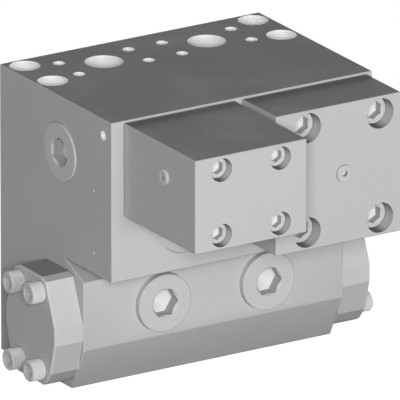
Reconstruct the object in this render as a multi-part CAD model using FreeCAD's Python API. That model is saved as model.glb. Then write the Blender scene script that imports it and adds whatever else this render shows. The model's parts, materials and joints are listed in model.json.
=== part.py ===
import FreeCAD, Part
import math
import os

# Double counterbalance valve for a hydraulic motor, with a relief block and a brake valve
# block bolted to its front. Millimetres, +Z up, X along the length, the front faces -Y.
# The origin is the middle of the four large motor screw holes on the top face.

V = FreeCAD.Vector

# Valve body: one machined casting, wide above and stepped back below.
body_length = 250.0
body_depth = 175.0
body_height = 248.0
mount_line = 138.0          # front face to the middle of the motor screws
upper_height = 137.7        # height of the part that overhangs to the front
step_root = 72.7            # front face to the root of the step under the overhang
shelf_fall = 13.3           # how far the shelf falls from the step's root to the lower front face
lower_front = 44.0          # front face to the lower front face
lower_front_height = 59.0   # from the shelf down to the toe chamfer
toe_set_back = 63.0         # front face to the front edge of the underside
edge_break = 0.5            # small chamfer on the outer edges of the body and the blocks

# Motor flange on the top face.
motor_screw_hole = 25.5
motor_screw_spacing = 220.0
motor_screw_rows = 44.0
motor_screw_depth = 45.0
port_distance = 99.0
port_line = 135.0           # front face to the middle of the motor ports
port_bore = 32.0
port_mouth_depth = 30.0
passage_bore = 28.0
flange_long = 66.7
flange_short = 31.8
flange_hole = 10.2
flange_hole_depth = 24.0

# Line ports and feed port on the back face.
line_port_inset = 39.0      # end face to the middle of the line port
feed_port_bore = 24.2
feed_port_depth = 18.0
feed_passage = 16.0

# Main spool and its bore.
spool_line = 83.5           # front face to the spool axis
spool_drop = 193.5          # top face to the spool axis
spool_bore = 30.0
spool_gap = 0.02
spool_neck = 21.0
spool_end_inset = 12.0      # end face of the body to the end of the spool
spool_travel = 8.0
chamber_bore = 42.0
line_chamber = (25.0, 53.0)     # from the end face, along the spool
motor_chamber = (57.0, 91.0)
land_overlap = 2.0
end_land_end = 33.0
centre_land_start = 81.0
metering_notch = 5.0
metering_notch_depth = 1.7
metering_notches = 4
balance_groove = 0.8
balance_grooves = 3
spool_edge = 1.0

# End covers, springs and spring seats.
cover_thickness = 27.0
cover_edge = 1.0
cover_half_outline = ((17.3, 46.5), (24.5, 43.9), (38.7, 7.9), (38.7, -7.9),
                      (31.5, -34.0), (24.7, -43.4), (20.0, -46.5))
cover_recess = 31.0
cover_recess_depth = 20.0
cover_screw_short = 32.0
cover_screw_long = 67.0
cover_seal_middle = 19.7
main_spring_wire = 4.0
main_spring_mean = 23.0
main_spring_turns = 4.5
seat_plate = 28.5
seat_plate_thickness = 4.0
seat_plate_edge = 0.5
seat_stud = 12.0
seat_stud_edge = 1.0
spring_dead_turn = 0.75     # closed part of a turn at each end of every spring
spring_runs = 14            # straight runs in one turn of the wire
spring_sides = 8

# Hexagon socket screw plugs: thread, collar, collar height, edge of the collar, shank, depth of
# the neck under the collar, height of the seal, hexagon and socket depth.
big_plug = dict(thread=42.0, collar=49.5, rise=5.4, edge=0.9, shank=16.0, neck=1.5, seal=2.2,
                hexagon=22.0, socket=11.0)
end_plug = dict(thread=27.0, collar=32.0, rise=4.0, edge=0.6, shank=13.0, neck=0.9, seal=1.6,
                hexagon=12.0, socket=8.0)
gallery_plug = dict(thread=14.0, collar=19.0, rise=3.0, edge=0.5, shank=9.0, neck=0.5, seal=1.2,
                    hexagon=6.0, socket=6.0)
gauge_plug = dict(thread=10.0, collar=14.0, rise=2.5, edge=0.4, shank=8.0, neck=0.4, seal=1.0,
                  hexagon=5.0, socket=4.5)
plug_lead = 1.0             # chamfer at the inner end of a plug's thread
thread_gap = 0.05
spotface_gap = 0.25
thread_run_out = 3.0
drill_point = math.radians(31.0)    # slope of a 118 degree drill point
past = 1.0                  # how far a cutter reaches past the face that it opens
overlap = 0.5               # how far the pieces of one cutter reach into each other

# Places of the big plugs. sink is how deep the collar's seat lies under the face.
side_plug_line = 79.5
side_plug_drop = 48.0
side_plug_sink = 4.0
check_plug_drop = 99.0
check_plug_sink = 5.9
check_plug_x = {"left": 70.0, "right": 190.0}      # from the left end face
lower_plug_inset = 75.0

# Check valves behind the side plugs and the recessed front plugs.
guide_bore = 32.0
guide_end = 36.0            # depth under the plug's seat at which the guide bore ends
flow_chamber = 40.0
seat_depth = 50.0
seat_bore = 24.0
seat_chamfer = 1.0
seat_gap = 0.05
check_lift = 6.0
check_stop_gap = 0.3        # left between the lifted poppet and its plug
poppet_gap = 0.02
poppet_edge = 1.0
poppet_hollow = 22.0
poppet_floor = 44.0
poppet_nose = 17.0
poppet_vent = 4.0
supply_bore = 24.0
supply_depth = 96.0
bypass_bore = 14.0          # flow chamber of a front check valve to the motor port
bypass_offset = 1.0         # flow chamber's side to the bypass bore's axis
link_bore = 16.0            # supply bore of a front check valve to the line chamber
link_line = 90.0            # front face to the middle of that link
makeup_bore = 16.0          # flow chamber of a side check valve to the motor port
check_spring_wire = 2.5
check_spring_mean = 17.0
check_spring_turns = 5.0
gallery_bore = 20.0         # make-up gallery between the two side check valves

# Socket head cap screws: thread, head diameter and height, edge, hexagon and socket depth.
screw_m12 = dict(thread=12.0, head=18.0, height=12.0, edge=1.0, hexagon=10.0, socket=6.0)
screw_m16 = dict(thread=16.0, head=24.0, height=16.0, edge=1.3, hexagon=14.0, socket=8.0)
cover_screw_length = 50.0
brake_screw_length = 110.0
relief_screw_length = 50.0
m12_clearance = 13.5
m16_clearance = 17.5

# Brake valve block, the left one on the front face.
brake_left = 12.0           # left end face of the body to the block
brake_length = 106.0
brake_depth = 110.0
brake_height = 80.0
block_drop = 2.0            # top face of the body to the top of both blocks
brake_screw_spacing = 56.0
brake_screw_drop = 12.0
m12_counterbore = 20.0
brake_head_recess = 6.5
brake_gauge_reach = 63.0    # body's front face to the gauge plug's axis
brake_gauge_drop = 27.0     # block's top to the gauge plug's axis
brake_spool_reach = 60.0
brake_spool_across = 53.0   # block's left face to the spool's axis
brake_spool_diameter = 14.0
brake_spool_neck = 9.0
brake_spool_edge = 0.5
brake_spool_length = 34.0
brake_bore_depth = 64.0
brake_travel = 4.0
brake_stop_pin = 6.0        # pin on the end plug that stops the spool
brake_passage_spread = 35.0
brake_passage_drop = 43.2   # block's top to the oil passages in its back face
brake_drain_rise = 23.2     # underside of the block to the inner end of the drain
brake_spring_chamber = 19.0
brake_spring_chamber_depth = 28.0
brake_spring_wire = 1.8
brake_spring_mean = 10.5
brake_spring_turns = 4.0
brake_port_reach = 92.0
brake_port_bore = 11.8
brake_port_depth = 14.0
pilot_hole = 5.0
brake_seal_middle = 6.0

# Relief block, the right one on the front face.
relief_left = 125.0
relief_length = 120.0
relief_depth = 52.0
relief_height = 120.0
relief_screw_x = (30.0, 100.0)      # from the block's left face
relief_screw_drop = (15.0, 105.0)   # from the block's top
m16_counterbore = 26.0
relief_head_recess = 10.0
relief_axis_spread = 50.0
relief_seat_diameter = 20.0
relief_seat_length = 10.0
relief_seat_bore = 8.0
relief_seat_edge = 0.5
relief_return_seal = 8.0    # radius of the ring round the return hole between the two seats
relief_chamber = 17.0
relief_spring_bore = 12.0
relief_chamber_depth = 40.0
relief_lift = 2.5
relief_tip = 4.0
relief_poppet_length = 15.5
relief_hollow = 11.0
relief_hollow_depth = 7.0
relief_spring_wire = 2.0
relief_spring_mean = 8.5
relief_spring_turns = 5.0
relief_gallery = 6.0
relief_gallery_reach = 13.5
relief_drilling_fall = 12.0     # the left relief valve's drilling falls this far to the motor port

# Squeezed rubber rings in face grooves.
ring_height = 1.8
ring_width = 2.6
ring_bulge = 0.6

# Small holes in the left end face: one M10 tapping and two rivet holes of the bare plate field.
small_tap = 8.5
small_tap_depth = 18.0
small_tap_at = (12.3, 14.0)
rivet_hole = 1.9
rivet_depth = 6.0
rivet_line = 27.4
rivet_drops = (66.0, 120.0)

# Sizes that follow from the ones above.
left_end = -body_length / 2
front = -mount_line
back = body_depth - mount_line
lower_face = front + lower_front
spool_y = front + spool_line
lower_front_top = upper_height + shelf_fall
lower_front_bottom = lower_front_top + lower_front_height
lower_plug_drop = (lower_front_top + lower_front_bottom) / 2
port_y = front + port_line
side_plug_y = front + side_plug_line
relief_x = left_end + relief_left + sum(relief_screw_x) / 2
relief_z = -block_drop - sum(relief_screw_drop) / 2
brake_x = left_end + brake_left + brake_spool_across

# For each side of the body: where a local X, Y and Z axis point, with Z out of the face.
AXES = {
    "front": (V(1, 0, 0), V(0, 0, 1), V(0, -1, 0)),
    "back": (V(-1, 0, 0), V(0, 0, 1), V(0, 1, 0)),
    "left": (V(0, -1, 0), V(0, 0, 1), V(-1, 0, 0)),
    "right": (V(0, 1, 0), V(0, 0, 1), V(1, 0, 0)),
    "top": (V(1, 0, 0), V(0, 1, 0), V(0, 0, 1)),
    "bottom": (V(1, 0, 0), V(0, -1, 0), V(0, 0, -1)),
}
HANDS = {"left": -1, "right": 1}


def place(shape, side, x, y, z):
    """Turn a shape's local +Z out of the named side and move its origin to the point."""
    placed = shape.copy()
    frame = FreeCAD.Placement(V(x, y, z), FreeCAD.Rotation(*AXES[side], "ZYX"))
    placed.Placement = frame.multiply(placed.Placement)
    return placed


def rod(diameter, low, high):
    return Part.makeCylinder(diameter / 2, high - low, V(0, 0, low))


def blind_hole(diameter, depth):
    """Cutter for a drilled hole with its drill point, from the local origin inwards."""
    radius = diameter / 2
    tip = depth + radius * math.tan(drill_point)
    return turned([(0, past), (radius, past), (radius, -depth), (0, -tip)])


def turned(points):
    """Revolve a closed outline of (radius, height) points about the local Z axis."""
    corners = [V(r, 0, z) for r, z in points]
    face = Part.Face(Part.makePolygon(corners + corners[:1]))
    return face.revolve(V(0, 0, 0), V(0, 0, 1), 360)


def hexagon(across_flats, low, high, corner_up):
    """Hexagonal prism with two of its corners on the local Y axis, or else on the X axis."""
    radius = across_flats / math.sqrt(3)
    turn = math.pi / 2 if corner_up else 0.0
    angles = [turn + k * math.pi / 3 for k in range(7)]
    outline = Part.makePolygon([V(radius * math.cos(a), radius * math.sin(a), low) for a in angles])
    return Part.Face(outline).extrude(V(0, 0, high - low))


def socket(across_flats, depth, top, corner_up):
    """Cutter for a hexagon socket: mouth countersink, hexagon and drill point."""
    corner = across_flats / math.sqrt(3)
    inner = across_flats / 2
    mouth = turned([(0, top + past), (corner + past, top + past), (inner, top - (corner - inner)),
                    (0, top - (corner - inner))])
    point_depth = depth + inner * math.tan(drill_point)
    point = turned([(0, overlap - depth), (inner, overlap - depth), (inner, -depth), (0, -point_depth)])
    point.translate(V(0, 0, top))
    return mouth.fuse([hexagon(across_flats, top - depth, top, corner_up), point])


def drilling(diameter, start, end):
    """Straight passage between two points of the valve's own frame."""
    way = V(*end) - V(*start)
    return Part.makeCylinder(diameter / 2, way.Length, V(*start), way)


def plug(size, corner_up):
    """Screw plug. Its local origin is on the axis, in the plane that the collar sits on."""
    shank = size["thread"] / 2
    neck = shank - size["neck"]
    collar = size["collar"] / 2
    edge = size["edge"]
    seal = size["seal"]
    seal_out = seal_outside(size)
    outline = [(0, -size["shank"]), (shank - plug_lead, -size["shank"]),
               (shank, plug_lead - size["shank"]), (shank, -seal), (neck, -seal), (neck, seal),
               (seal_out, seal), (seal_out, 0), (collar, 0), (collar, size["rise"] - edge),
               (collar - edge, size["rise"]), (0, size["rise"])]
    return turned(outline).cut(socket(size["hexagon"], size["socket"], size["rise"], corner_up))


def seal_outside(size):
    """Outer radius of a plug's seal, halfway across the collar's seat."""
    return (size["thread"] + size["collar"]) / 4


def plug_seal(size):
    """Flat rubber ring that fills the groove under a plug's collar."""
    inside = size["thread"] / 2 - size["neck"] + thread_gap
    outside = seal_outside(size)
    return turned([(inside, 0), (outside, 0), (outside, size["seal"]), (inside, size["seal"])])


def plug_hole(size, sink):
    """Cutter for a plug: spotface, thread and a countersink at its mouth."""
    thread = size["thread"] / 2 + thread_gap
    depth = size["shank"] + thread_run_out
    lead = size["neck"] / 2
    hole = turned([(0, -depth), (thread, -depth), (thread, -lead), (thread + lead, 0),
                   (thread + lead, overlap), (0, overlap)])
    return hole.fuse(rod(size["collar"] + 2 * spotface_gap, 0, sink + size["rise"]))


def cap_screw(size, length, corner_up=True):
    """Socket head cap screw. Its local origin is on the axis, under the head."""
    shank = size["thread"] / 2
    head = size["head"] / 2
    lead = size["edge"]
    outline = [(0, -length), (shank - lead, -length), (shank, lead - length), (shank, 0), (head, 0),
               (head, size["height"] - lead), (head - lead, size["height"]), (0, size["height"])]
    return turned(outline).cut(socket(size["hexagon"], size["socket"], size["height"], corner_up))


def tapped_hole(size, depth):
    return rod(size["thread"] + 2 * thread_gap, -depth - thread_run_out, past)


def rubber_ring(middle):
    """Rubber ring squeezed flat between two faces, from height 0 inwards."""
    half = ring_width / 2
    flat = half - ring_bulge
    return turned([(middle - flat, -ring_height), (middle + flat, -ring_height),
                   (middle + half, -ring_height / 2), (middle + flat, 0), (middle - flat, 0),
                   (middle - half, -ring_height / 2)])


def ring_groove(middle):
    """Cutter for the face groove of a rubber ring."""
    half = ring_width / 2
    return turned([(middle - half, -ring_height), (middle + half, -ring_height),
                   (middle + half, past), (middle - half, past)])


def coil_points(wire, mean, low, high, turns):
    """Middle line of a spring's wire: a closed turn at each end and an even rise between."""
    count = round(turns * spring_runs)
    dead = spring_dead_turn / turns
    points = []
    for k in range(count + 1):
        share = k / count
        if share < dead:
            height = wire * share / dead
        elif share > 1 - dead:
            height = high - low - wire * (1 - share) / dead
        else:
            height = wire + (high - low - 2 * wire) * (share - dead) / (1 - 2 * dead)
        angle = 2 * math.pi * turns * share
        points.append(V(mean / 2 * math.cos(angle), mean / 2 * math.sin(angle), low + height))
    return points


def wire_ring(at, along, wire):
    """Corners of the wire's section round a point, square to the direction of the wire."""
    across = V(at.x, at.y, 0).normalize()
    up = along.cross(across).normalize()
    across = up.cross(along)
    angles = [2 * math.pi * (k + 0.5) / spring_sides for k in range(spring_sides)]
    return [at + (across * math.cos(a) + up * math.sin(a)) * (wire / 2) for a in angles]


def coil_spring(wire, mean, low, high, turns):
    """Compression spring of straight runs mitred to each other, with both ends ground flat."""
    points = coil_points(wire, mean, low, high, turns)
    ways = [(b - a).normalize() for a, b in zip(points, points[1:])]
    rings = [wire_ring(points[0], ways[0], wire)]
    for k, way in enumerate(ways):
        mitre = (way + ways[min(k + 1, len(ways) - 1)]).normalize()
        corner = points[k + 1]
        ring = [p + way * ((corner - p).dot(mitre) / way.dot(mitre)) for p in rings[-1]]
        rings.append(ring)
    faces = [Part.Face(Part.makePolygon(ring + ring[:1])) for ring in (rings[0], rings[-1])]
    for a, b in zip(rings, rings[1:]):
        for k in range(spring_sides):
            j = (k + 1) % spring_sides
            faces.append(Part.Face(Part.makePolygon([a[k], a[j], b[j], b[k], a[k]])))
    coil = Part.Solid(Part.Shell(faces))
    if coil.Volume < 0:
        coil.reverse()
    return coil.common(rod(mean + 4 * wire, low, high))


def mirrored_outline(half):
    """Close a half outline of (across, up) points with its mirror image."""
    return list(half) + [(-x, y) for x, y in reversed(half)]


def end_cover():
    """End cover. Its local origin is on the spool's axis, in the face that meets the body."""
    corners = [V(x, y, 0) for x, y in mirrored_outline(cover_half_outline)]
    plate = Part.Face(Part.makePolygon(corners + corners[:1])).extrude(V(0, 0, cover_thickness))
    rim = [e for e in plate.Edges if all(v.Z > cover_thickness / 2 for v in e.Vertexes)]
    plate = plate.makeChamfer(cover_edge, rim)
    cutters = [rod(cover_recess, -past, cover_recess_depth)]
    groove = ring_groove(cover_seal_middle)
    cutters.append(groove.mirror(V(0, 0, 0), V(0, 0, 1)))
    for x, y in cover_screw_points():
        hole = rod(m12_clearance, -past, cover_thickness + past)
        hole.translate(V(x, y, 0))
        cutters.append(hole)
    return plate.cut(cutters)


def cover_screw_points():
    return [(sx * cover_screw_short / 2, sy * cover_screw_long / 2) for sx in (-1, 1) for sy in (-1, 1)]


def cover_screws(hand):
    screws = []
    for x, y in cover_screw_points():
        screw = cap_screw(screw_m12, cover_screw_length)
        screw = place(screw, hand, HANDS[hand] * (body_length / 2 + cover_thickness), spool_y + x,
                      y - spool_drop)
        screws.append(screw)
    return Part.makeCompound(screws)


def spool_stations():
    """Distances from the body's end face at which the spool's radius changes, up to its middle."""
    land_start = line_chamber[1] - land_overlap
    land_end = motor_chamber[0] + land_overlap
    return spool_end_inset, end_land_end, land_start, land_end, centre_land_start


def main_spool():
    """Main spool about the local Z axis, with its middle at the local origin."""
    half = body_length / 2
    radius = spool_bore / 2 - spool_gap
    neck = spool_neck / 2
    end, land_a, land_b, land_c, land_d = [half - s for s in spool_stations()]
    right = [(radius, land_d), (neck, land_d), (neck, land_c), (radius, land_c), (radius, land_b),
             (neck, land_b), (neck, land_a), (radius, land_a), (radius, end - spool_edge),
             (radius - spool_edge, end)]
    left = [(r, -z) for r, z in reversed(right)]
    spool = turned([(0, -end)] + left + right + [(0, end)])
    cutters = []
    for sign in (-1, 1):
        for k in range(metering_notches):
            notch = Part.makeCylinder(metering_notch / 2, radius, V(0, 0, sign * land_b), V(1, 0, 0))
            notch.translate(V(radius - metering_notch_depth, 0, 0))
            notch.rotate(V(0, 0, 0), V(0, 0, 1), 45 + k * 360 / metering_notches)
            cutters.append(notch)
        for step in range(1, balance_grooves + 1):
            share = step / (balance_grooves + 1)
            cutters.append(balance_groove_ring(radius, sign * (end - share * (end - land_a))))
            cutters.append(balance_groove_ring(radius, sign * (land_d - share * land_d)))
    return spool.cut(cutters)


def balance_groove_ring(radius, at):
    half = balance_groove / 2
    return turned([(radius - half, at - half), (radius + past, at - half),
                   (radius + past, at + half), (radius - half, at + half)])


def spring_seat():
    """Seat plate with its stop stud. Its local origin is on the spool's end face."""
    reach = spool_end_inset + cover_recess_depth - spool_travel
    stud = seat_stud / 2
    plate = seat_plate / 2
    return turned([(0, 0), (plate, 0), (plate, seat_plate_thickness - seat_plate_edge),
                   (plate - seat_plate_edge, seat_plate_thickness), (stud, seat_plate_thickness),
                   (stud, reach - seat_stud_edge), (stud - seat_stud_edge, reach), (0, reach)])


def main_spring():
    """Centring spring from the seat plate to the cover. Its local origin is the spool's end face."""
    return coil_spring(main_spring_wire, main_spring_mean, seat_plate_thickness,
                       spool_end_inset + cover_recess_depth, main_spring_turns)


def check_cavity(sink):
    """Cutter for a check valve: plug hole, guide bore, flow chamber, seat and supply bore."""
    rim = seat_bore / 2 + seat_chamfer
    guide = rod(guide_bore, -guide_end, -big_plug["shank"])
    chamber = rod(flow_chamber, -seat_depth, -guide_end)
    seat = turned([(0, -seat_depth - seat_chamfer), (seat_bore / 2, -seat_depth - seat_chamfer),
                   (rim, -seat_depth), (rim, past - seat_depth), (0, past - seat_depth)])
    supply = rod(supply_bore, -supply_depth, -seat_depth)
    return plug_hole(big_plug, sink).fuse([guide, chamber, seat, supply])


def check_poppet():
    """Hollow check poppet. Its local origin is on the axis, in the plane of the plug's seat."""
    outside = guide_bore / 2 - poppet_gap
    hollow = poppet_hollow / 2
    nose = poppet_nose / 2
    rim = -(big_plug["shank"] + check_lift + check_stop_gap)
    cone_zero = -seat_depth + seat_gap - (seat_bore / 2 + seat_chamfer)
    outline = [(0, cone_zero + nose), (nose, cone_zero + nose), (outside, cone_zero + outside),
               (outside, rim - poppet_edge), (outside - poppet_edge, rim), (hollow, rim),
               (hollow, -poppet_floor), (0, -poppet_floor)]
    vent_z = poppet_vent - poppet_floor
    vent = drilling(poppet_vent, (-outside - past, 0, vent_z), (outside + past, 0, vent_z))
    return turned(outline).cut(vent)


def check_spring():
    return coil_spring(check_spring_wire, check_spring_mean, -poppet_floor, -big_plug["shank"],
                       check_spring_turns)


def body_profile():
    """Section of the valve body, extruded along its length."""
    points = [(0, 0), (body_depth, 0), (body_depth, body_height), (toe_set_back, body_height),
              (lower_front, lower_front_bottom), (lower_front, lower_front_top),
              (step_root, upper_height), (0, upper_height)]
    corners = [V(left_end, front + y, -drop) for y, drop in points]
    body = Part.Face(Part.makePolygon(corners + corners[:1])).extrude(V(body_length, 0, 0))
    root = front + (lower_front + step_root) / 2
    outer = [e for e in body.Edges if not step_root_edge(e, root)]
    return body.makeChamfer(edge_break, outer)


def step_root_edge(edge, behind):
    """Whether this is the inner corner of the step, which has no chamfer."""
    return all(v.Y > behind and abs(v.Z + upper_height) < edge_break for v in edge.Vertexes)


def flange_holes(across, along):
    """Four tapped holes of a flange pattern, about the local Z axis."""
    holes = []
    for sx in (-1, 1):
        for sy in (-1, 1):
            hole = blind_hole(flange_hole, flange_hole_depth)
            hole.translate(V(sx * across / 2, sy * along / 2, 0))
            holes.append(hole)
    return holes


def port(across, along, reach):
    """Cutters for a flanged port: mouth, passage and its four tapped holes."""
    mouth = rod(port_bore, -port_mouth_depth, past)
    passage = rod(passage_bore, -reach, overlap - port_mouth_depth)
    return [mouth, passage] + flange_holes(across, along)


def motor_face_cutters():
    cutters = []
    for sx in (-1, 1):
        for sy in (-1, 1):
            hole = blind_hole(motor_screw_hole, motor_screw_depth)
            cutters.append(place(hole, "top", sx * motor_screw_spacing / 2, sy * motor_screw_rows / 2, 0))
        for cutter in port(flange_long, flange_short, spool_drop):
            cutters.append(place(cutter, "top", sx * port_distance / 2, port_y, 0))
    return cutters


def back_face_cutters():
    cutters = []
    line_x = body_length / 2 - line_port_inset
    for sx in (-1, 1):
        for cutter in port(flange_short, flange_long, body_depth - spool_line):
            cutters.append(place(cutter, "back", sx * line_x, back, -spool_drop))
    feed = rod(feed_port_bore, -feed_port_depth, past)
    passage = rod(feed_passage, -(back - side_plug_y), overlap - feed_port_depth)
    cutters += [place(cutter, "back", 0, back, -side_plug_drop) for cutter in (feed, passage)]
    return cutters


def spool_bore_cutters():
    """Spool bore, its four ring chambers and the tapped holes of both covers."""
    bore = rod(spool_bore, -body_length / 2 - past, body_length / 2 + past)
    cutters = [place(bore, "right", 0, spool_y, -spool_drop)]
    for hand, sign in HANDS.items():
        for start, stop in (line_chamber, motor_chamber):
            chamber = rod(chamber_bore, -stop, -start)
            cutters.append(place(chamber, hand, sign * body_length / 2, spool_y, -spool_drop))
        for x, y in cover_screw_points():
            hole = tapped_hole(screw_m12, cover_screw_length - cover_thickness)
            cutters.append(place(hole, hand, sign * body_length / 2, spool_y + x, y - spool_drop))
    return cutters


def check_valve_cutters(hand):
    """Both check valves of one hand, their links to the chambers, and the lower front plug."""
    sign = HANDS[hand]
    end = sign * body_length / 2
    check_x = left_end + check_plug_x[hand]
    line_x = sign * (body_length / 2 - sum(line_chamber) / 2)
    link_y = front + link_line
    bypass_x = check_x - sign * (flow_chamber / 2 + bypass_offset)
    bypass_y = front + check_plug_sink + guide_end + bypass_bore / 2
    lower_x = sign * (body_length / 2 - lower_plug_inset)
    side_chamber_x = end - sign * (side_plug_sink + (guide_end + seat_depth) / 2)
    cross = rod(spool_bore, lower_face - port_y, -big_plug["shank"])
    cutters = [
        place(check_cavity(side_plug_sink), hand, end - sign * side_plug_sink, side_plug_y,
              -side_plug_drop),
        place(check_cavity(check_plug_sink), "front", check_x, front + check_plug_sink,
              -check_plug_drop),
        drilling(link_bore, (check_x, link_y, -check_plug_drop), (line_x, link_y, -spool_drop)),
        drilling(bypass_bore, (bypass_x, bypass_y, -check_plug_drop),
                 (bypass_x, port_y, -check_plug_drop)),
        drilling(makeup_bore, (side_chamber_x, side_plug_y, -side_plug_drop),
                 (sign * port_distance / 2, port_y, -side_plug_drop)),
        place(plug_hole(big_plug, 0), "front", lower_x, lower_face, -lower_plug_drop),
        place(cross, "front", lower_x, lower_face, -lower_plug_drop),
    ]
    return cutters


def block_interface_cutters():
    """Tapped holes and oil passages behind the two blocks on the front face."""
    cutters = []
    for x, z in brake_screw_points():
        hole = tapped_hole(screw_m12, brake_screw_length - brake_clamp_length())
        cutters.append(place(hole, "front", x, front, z))
    for x, z in relief_screw_points():
        hole = tapped_hole(screw_m16, relief_screw_length - relief_clamp_length())
        cutters.append(place(hole, "front", x, front, z))
    side_chamber_x = left_end + side_plug_sink + (guide_end + seat_depth) / 2
    check_flow_y = front + check_plug_sink + (guide_end + seat_depth) / 2
    supply_x, drain_x = brake_passages()
    left_relief, right_relief = relief_axes()
    cutters += [
        drilling(pilot_hole, (supply_x, front - past, brake_passage_z()),
                 (side_chamber_x, side_plug_y, -side_plug_drop)),
        drilling(pilot_hole, (drain_x, front - past, brake_passage_z()),
                 (drain_x, side_plug_y, -side_plug_drop)),
        drilling(relief_seat_bore, (left_relief, front - past, relief_z),
                 (-port_distance / 2, port_y, relief_z - relief_drilling_fall)),
        drilling(relief_seat_bore, (right_relief, front - past, relief_z),
                 (left_end + check_plug_x["right"], check_flow_y, -check_plug_drop)),
        drilling(relief_seat_bore, (relief_x, front - past, relief_z),
                 (relief_x, side_plug_y, -side_plug_drop)),
    ]
    return cutters


def small_hole_cutters():
    line, drop = small_tap_at
    tap = blind_hole(small_tap, small_tap_depth)
    cutters = [place(tap, "left", left_end, front + line, -drop)]
    for drop in rivet_drops:
        hole = blind_hole(rivet_hole, rivet_depth)
        cutters.append(place(hole, "left", left_end, front + rivet_line, -drop))
    return cutters


def valve_body():
    gallery = rod(gallery_bore, -body_length / 2 + supply_depth, body_length / 2 - supply_depth)
    cutters = [place(gallery, "right", 0, side_plug_y, -side_plug_drop)]
    cutters += motor_face_cutters()
    cutters += back_face_cutters()
    cutters += spool_bore_cutters()
    cutters += check_valve_cutters("left")
    cutters += check_valve_cutters("right")
    cutters += block_interface_cutters()
    cutters += small_hole_cutters()
    return body_profile().cut(cutters)


def brake_clamp_length():
    """Length of a brake block screw that lies inside the block."""
    return brake_depth - screw_m12["height"] - brake_head_recess


def relief_clamp_length():
    return relief_depth - screw_m16["height"] - relief_head_recess


def brake_screw_points():
    middle = left_end + brake_left + brake_length / 2
    top = -block_drop - brake_screw_drop
    half = brake_screw_spacing / 2
    return [(middle + sx * half, top - row * brake_screw_spacing) for sx in (-1, 1) for row in (0, 1)]


def relief_screw_points():
    left = left_end + relief_left
    return [(left + x, -block_drop - drop) for x in relief_screw_x for drop in relief_screw_drop]


def brake_passages():
    """Supply and drain holes of the brake block, left and right of its spool."""
    return brake_x - brake_passage_spread / 2, brake_x + brake_passage_spread / 2


def brake_passage_z():
    return -block_drop - brake_passage_drop


def relief_axes():
    return relief_x - relief_axis_spread / 2, relief_x + relief_axis_spread / 2


def screw_row(points, size, length, clamp, side_y):
    """One screw per point, with its head on the counterbore's floor."""
    screws = [place(cap_screw(size, length), "front", x, side_y - clamp, z) for x, z in points]
    return Part.makeCompound(screws)


def counterbored_hole(size, clearance, counterbore, clamp, depth):
    """Cutter through a block, local +Z out of its front, local origin on its back face."""
    return rod(clearance, -past, clamp + past).fuse(rod(counterbore, clamp, depth + size["height"]))


def milled_block(length, depth, height, left):
    """Block on the body's front face, with all of its edges broken."""
    block = Part.makeBox(length, depth, height, V(left, front - depth, -block_drop - height))
    return block.makeChamfer(edge_break, block.Edges)


def brake_block():
    block = milled_block(brake_length, brake_depth, brake_height, left_end + brake_left)
    bottom = -block_drop - brake_height
    spool_at = front - brake_spool_reach
    hole = counterbored_hole(screw_m12, m12_clearance, m12_counterbore, brake_clamp_length(),
                             brake_depth)
    cutters = [place(hole, "front", x, front, z) for x, z in brake_screw_points()]
    spool_hole = rod(brake_spool_diameter + 2 * spool_gap, -brake_bore_depth, -past)
    spring_hole = rod(brake_spring_chamber, -brake_spring_chamber_depth, -past)
    for cutter in (plug_hole(end_plug, 0), spring_hole, spool_hole):
        cutters.append(place(cutter, "bottom", brake_x, spool_at, bottom))
    gauge_y = front - brake_gauge_reach
    gauge_z = -block_drop - brake_gauge_drop
    cutters.append(place(plug_hole(gauge_plug, 0), "left", left_end + brake_left, gauge_y, gauge_z))
    cutters.append(drilling(pilot_hole, (left_end + brake_left + past, gauge_y, gauge_z),
                            (brake_x, gauge_y, gauge_z)))
    port_at = front - brake_port_reach
    brake_port = blind_hole(brake_port_bore, brake_port_depth)
    cutters.append(place(brake_port, "bottom", brake_x, port_at, bottom))
    spool_neck_z = brake_neck_z()
    cutters.append(drilling(pilot_hole, (brake_x, port_at, bottom + past),
                            (brake_x, spool_at, spool_neck_z)))
    supply_x, drain_x = brake_passages()
    drain_z = bottom + brake_drain_rise
    for x, z in ((supply_x, spool_neck_z + brake_spool_neck), (drain_x, drain_z)):
        cutters.append(drilling(pilot_hole, (x, front + past, brake_passage_z()), (brake_x, spool_at, z)))
        cutters.append(place(ring_groove(brake_seal_middle), "back", x, front, brake_passage_z()))
    return block.cut(cutters)


def brake_neck_z():
    return -block_drop - brake_height + brake_spring_chamber_depth + brake_spool_length / 2


def brake_block_seals():
    rings = [place(rubber_ring(brake_seal_middle), "back", x, front, brake_passage_z())
             for x in brake_passages()]
    return Part.makeCompound(rings)


def brake_spool():
    """Reducing spool, local origin in the underside of the brake block, +Z down."""
    radius = brake_spool_diameter / 2
    neck = brake_spool_neck / 2
    low = -brake_spring_chamber_depth
    high = low - brake_spool_length
    middle = (low + high) / 2
    edge = brake_spool_edge
    outline = [(0, high), (radius - edge, high), (radius, high + edge), (radius, middle - neck),
               (neck, middle - neck), (neck, middle + neck), (radius, middle + neck),
               (radius, low - edge), (radius - edge, low), (0, low)]
    return turned(outline)


def brake_end_plug():
    """Screw plug with the pin that stops the brake spool at the end of its travel."""
    pin = rod(brake_stop_pin, brake_travel - brake_spring_chamber_depth, -end_plug["shank"])
    return plug(end_plug, False).fuse(pin)


def brake_spring():
    return coil_spring(brake_spring_wire, brake_spring_mean, -brake_spring_chamber_depth,
                       -end_plug["shank"], brake_spring_turns)


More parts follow.
